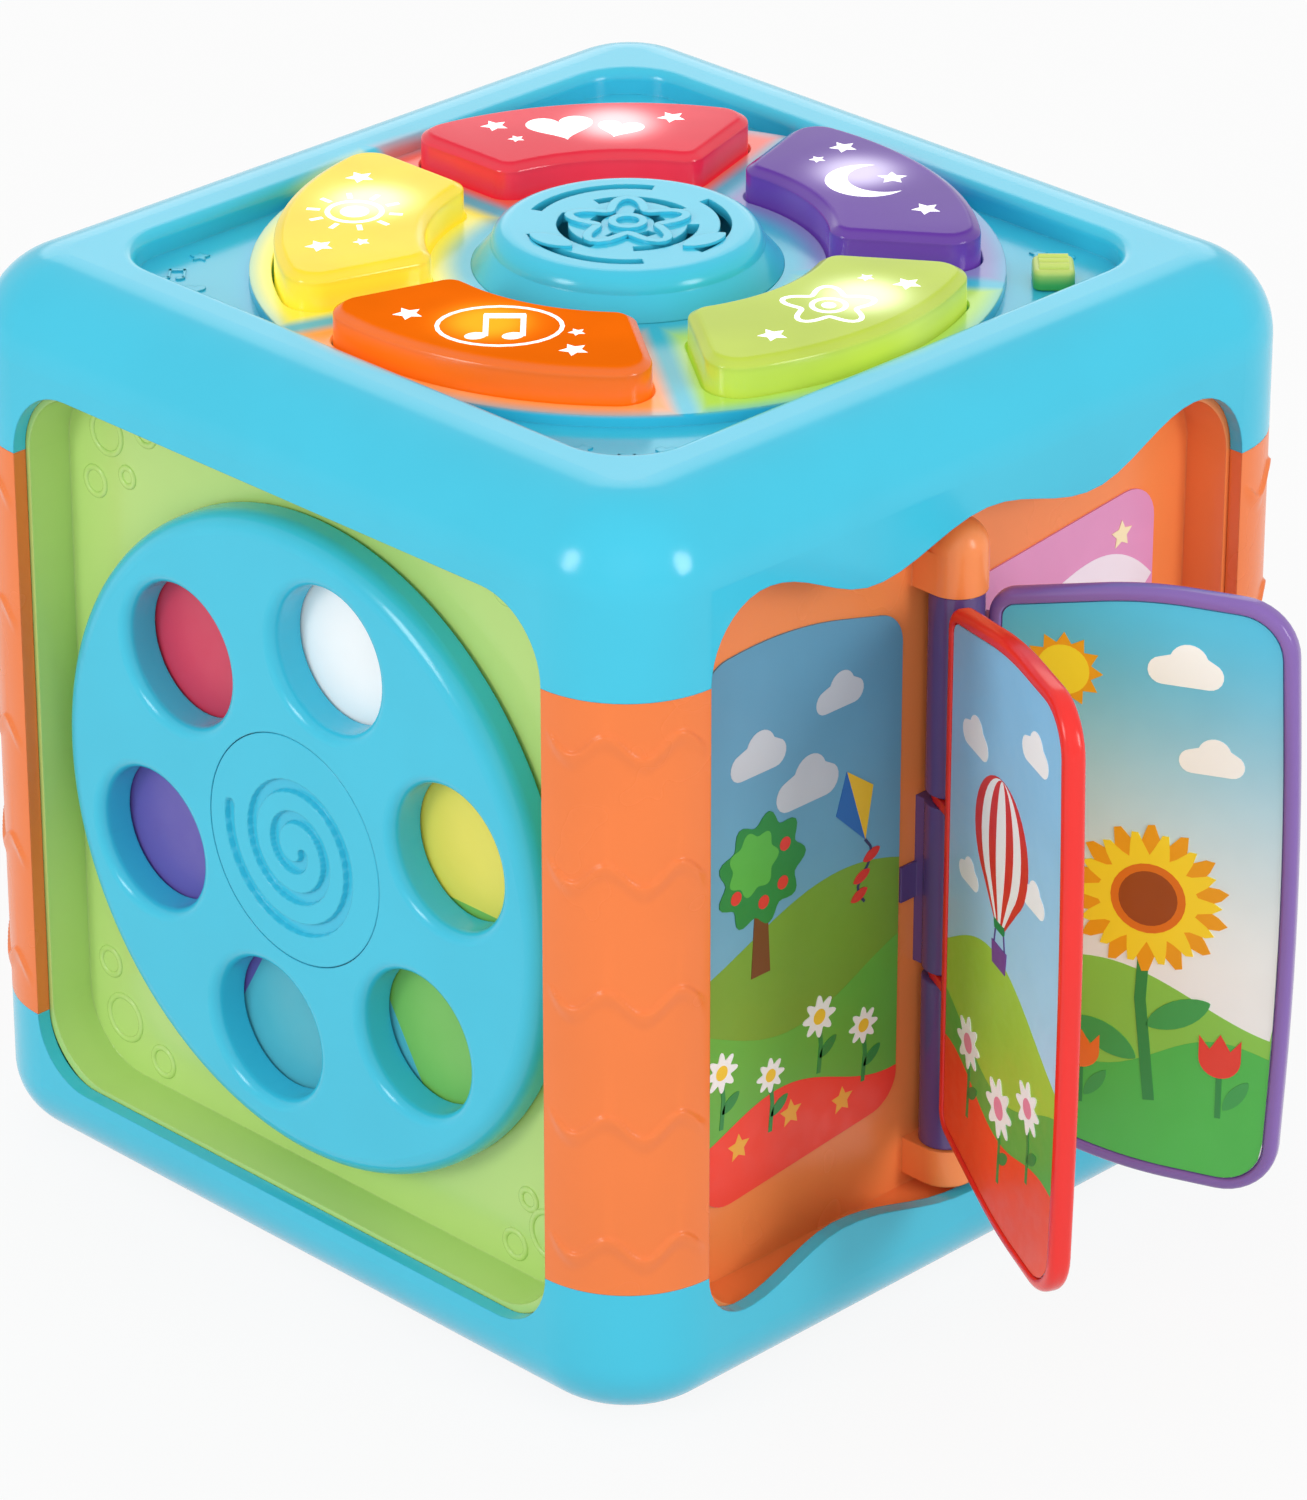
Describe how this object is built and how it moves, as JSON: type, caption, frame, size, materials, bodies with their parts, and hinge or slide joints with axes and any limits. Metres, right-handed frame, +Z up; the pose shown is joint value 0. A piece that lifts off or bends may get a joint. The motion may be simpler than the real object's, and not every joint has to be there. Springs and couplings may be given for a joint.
{
  "type": "musical activity cube",
  "caption": "Rounded toy cube with lit piano keys and a speaker on top, a spinning finger wheel, a hinged picture book, meshed gears and rollers on its sides.",
  "frame": {"origin": "centre of the flat underside", "axes": "+Z up, -Y out of the wheel's side, +X out of the book's side"},
  "size_m": [0.2563, 0.2, 0.2055],
  "materials": {
    "blue_plastic": "glossy moulded plastic",
    "orange_plastic": "glossy moulded plastic",
    "green_plastic": "glossy moulded plastic",
    "purple_plastic": "glossy moulded plastic",
    "page_purple_plastic": "glossy moulded plastic",
    "page_red_plastic": "glossy moulded plastic",
    "key_lime_plastic": "translucent moulded plastic",
    "key_purple_plastic": "translucent moulded plastic",
    "key_red_plastic": "translucent moulded plastic",
    "key_yellow_plastic": "translucent moulded plastic",
    "key_orange_plastic": "translucent moulded plastic",
    "switch_plastic": "moulded plastic",
    "gear_yellow_plastic": "glossy moulded plastic",
    "gear_red_plastic": "glossy moulded plastic",
    "gear_purple_plastic": "glossy moulded plastic",
    "print": "printed plastic sheet",
    "steel": "zinc plated",
    "board": "glass fibre circuit board",
    "dark_plastic": "matte",
    "speaker_metal": "black painted",
    "rubber": "soft silicone",
    "cell": "plain sleeve"
  },
  "bodies": {
    "housing": {"top_cap": "blue_plastic", "base_tray": "blue_plastic", "corner_post_front_left": "orange_plastic", "corner_post_front_right": "orange_plastic", "corner_post_back_right": "orange_plastic", "corner_post_back_left": "orange_plastic", "wheel_panel": "green_plastic", "book_panel": "orange_plastic", "gear_panel": "green_plastic", "roller_panel": "orange_plastic", "speaker_grille": "blue_plastic", "wheel_label": "print", "book_label_left": "print", "book_label_right": "print", "main_board": "board", "board_chips": "dark_plastic", "key_lights": "print", "slide_switch_body": "dark_plastic", "speaker_frame": "speaker_metal", "speaker_cone": "dark_plastic", "speaker_magnet": "steel", "battery_door": "blue_plastic", "battery_cells": "cell", "battery_contacts": "steel", "battery_door_screw": "steel", "base_screws": "steel", "cap_screws": "steel", "board_screws": "steel", "speaker_screws": "steel", "wheel_axle": "steel", "hinge_pin": "steel", "hinge_clip": "purple_plastic", "gear_axles": "steel", "roller_rod": "steel", "key_dome_lime": "rubber", "key_dome_purple": "rubber", "key_dome_red": "rubber", "key_dome_yellow": "rubber", "key_dome_orange": "rubber"},
    "wheel": {"play_wheel": "blue_plastic", "wheel_hub_cap": "blue_plastic"},
    "red_page": {"page_red": "page_red_plastic", "page_red_print_outer": "print", "page_red_print_inner": "print"},
    "purple_page": {"page_purple": "page_purple_plastic", "page_purple_print_outer": "print", "page_purple_print_inner": "print"},
    "switch": {"switch_knob": "switch_plastic"},
    "middle_gear": {"gear_middle": "gear_yellow_plastic"},
    "left_gear": {"gear_left": "gear_red_plastic"},
    "right_gear": {"gear_right": "gear_purple_plastic"},
    "left_roller": {"roller_left": "gear_red_plastic"},
    "middle_roller": {"roller_middle": "gear_yellow_plastic"},
    "right_roller": {"roller_right": "gear_purple_plastic"},
    "lime_key": {"key_lime": "key_lime_plastic"},
    "purple_key": {"key_purple": "key_purple_plastic"},
    "red_key": {"key_red": "key_red_plastic"},
    "yellow_key": {"key_yellow": "key_yellow_plastic"},
    "orange_key": {"key_orange": "key_orange_plastic"}
  },
  "joints": [
    {"name": "wheel_spin", "type": "hinge", "parent": "housing", "child": "wheel", "pos_m": [0, -0.091, 0.097], "axis": [0, 1, 0], "continuous": true},
    {"name": "red_page_turn", "type": "hinge", "parent": "housing", "child": "red_page", "pos_m": [0.0925, 0, 0.092], "axis": [0, 0, 1], "range_deg": [-63, 25]},
    {"name": "purple_page_turn", "type": "hinge", "parent": "housing", "child": "purple_page", "pos_m": [0.0925, 0, 0.092], "axis": [0, 0, 1], "range_deg": [-25, 63]},
    {"name": "switch_slide", "type": "slide", "parent": "housing", "child": "switch", "axis": [0.7071, -0.7071, 0], "range_m": [-0.009, 0]},
    {"name": "key_lime_press", "type": "slide", "parent": "housing", "child": "lime_key", "axis": [0, 0, 1], "range_m": [-0.002, 0], "stiffness_N_per_m": 500, "springref_m": 0.0012, "deforming": ["key_dome_lime"]},
    {"name": "key_purple_press", "type": "slide", "parent": "housing", "child": "purple_key", "axis": [0, 0, 1], "range_m": [-0.002, 0], "stiffness_N_per_m": 500, "springref_m": 0.0012, "deforming": ["key_dome_purple"]},
    {"name": "key_red_press", "type": "slide", "parent": "housing", "child": "red_key", "axis": [0, 0, 1], "range_m": [-0.002, 0], "stiffness_N_per_m": 500, "springref_m": 0.0012, "deforming": ["key_dome_red"]},
    {"name": "key_yellow_press", "type": "slide", "parent": "housing", "child": "yellow_key", "axis": [0, 0, 1], "range_m": [-0.002, 0], "stiffness_N_per_m": 500, "springref_m": 0.0012, "deforming": ["key_dome_yellow"]},
    {"name": "key_orange_press", "type": "slide", "parent": "housing", "child": "orange_key", "axis": [0, 0, 1], "range_m": [-0.002, 0], "stiffness_N_per_m": 500, "springref_m": 0.0012, "deforming": ["key_dome_orange"]},
    {"name": "gear_middle_spin", "type": "hinge", "parent": "housing", "child": "middle_gear", "pos_m": [0, 0.0905, 0.11325], "axis": [0, 1, 0], "continuous": true},
    {"name": "gear_left_spin", "type": "hinge", "parent": "housing", "child": "left_gear", "pos_m": [0.04312, 0.0905, 0.08075], "axis": [0, 1, 0], "continuous": true},
    {"name": "gear_right_spin", "type": "hinge", "parent": "housing", "child": "right_gear", "pos_m": [-0.04312, 0.0905, 0.08075], "axis": [0, 1, 0], "continuous": true},
    {"name": "roller_left_spin", "type": "hinge", "parent": "housing", "child": "left_roller", "pos_m": [-0.086, 0.0396, 0.097], "axis": [0, 1, 0], "continuous": true},
    {"name": "roller_middle_spin", "type": "hinge", "parent": "housing", "child": "middle_roller", "pos_m": [-0.086, 0, 0.097], "axis": [0, 1, 0], "continuous": true},
    {"name": "roller_right_spin", "type": "hinge", "parent": "housing", "child": "right_roller", "pos_m": [-0.086, -0.0396, 0.097], "axis": [0, 1, 0], "continuous": true}
  ],
  "couplings": [
    {"joint": "gear_left_spin", "follows": "gear_middle_spin", "ratio": -1},
    {"joint": "gear_right_spin", "follows": "gear_middle_spin", "ratio": -1}
  ]
}
